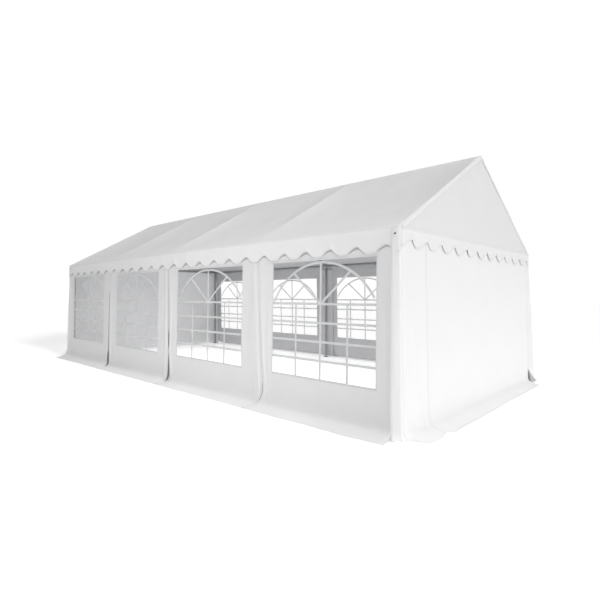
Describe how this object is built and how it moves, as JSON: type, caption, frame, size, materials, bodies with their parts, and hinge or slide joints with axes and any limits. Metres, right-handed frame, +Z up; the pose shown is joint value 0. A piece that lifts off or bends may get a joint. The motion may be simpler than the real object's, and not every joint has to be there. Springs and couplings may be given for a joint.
{
  "type": "marquee tent",
  "caption": "White marquee tent with a pitched roof, scalloped valances, barred clear windows along both sides and ground skirts, on a steel tube frame.",
  "frame": {"origin": "on the ground at the middle of the tent's footprint", "axes": "+Z up, +Y along the ridge from the front end wall to the rear one, X across the tent; the side at -X is the left one"},
  "size_m": [4.4914, 8.5114, 3.1],
  "materials": {
    "white_cloth": "satin coated cloth",
    "clear_film": "clear soft film",
    "galvanised_steel": "dull zinc"
  },
  "bodies": {
    "root": {"roof_cover": "white_cloth", "gable_front": "white_cloth", "end_wall_front": "white_cloth", "corner_strip_front": "white_cloth", "end_rail_front": "galvanised_steel", "gable_rear": "white_cloth", "end_wall_rear": "white_cloth", "corner_strip_rear": "white_cloth", "end_rail_rear": "galvanised_steel", "wall_left_1": "white_cloth", "window_left_1": "clear_film", "wall_left_2": "white_cloth", "window_left_2": "clear_film", "wall_left_3": "white_cloth", "window_left_3": "clear_film", "wall_left_4": "white_cloth", "window_left_4": "clear_film", "leg_left_1": "galvanised_steel", "leg_left_2": "galvanised_steel", "leg_left_3": "galvanised_steel", "leg_left_4": "galvanised_steel", "leg_left_5": "galvanised_steel", "eaves_rail_left": "galvanised_steel", "wall_right_1": "white_cloth", "window_right_1": "clear_film", "wall_right_2": "white_cloth", "window_right_2": "clear_film", "wall_right_3": "white_cloth", "window_right_3": "clear_film", "wall_right_4": "white_cloth", "window_right_4": "clear_film", "leg_right_1": "galvanised_steel", "leg_right_2": "galvanised_steel", "leg_right_3": "galvanised_steel", "leg_right_4": "galvanised_steel", "leg_right_5": "galvanised_steel", "eaves_rail_right": "galvanised_steel", "rafters_1": "galvanised_steel", "rafters_2": "galvanised_steel", "rafters_3": "galvanised_steel", "rafters_4": "galvanised_steel", "rafters_5": "galvanised_steel", "ridge_tube_1": "galvanised_steel", "ridge_tube_2": "galvanised_steel", "ridge_tube_3": "galvanised_steel", "ridge_tube_4": "galvanised_steel"}
  },
  "joints": []
}
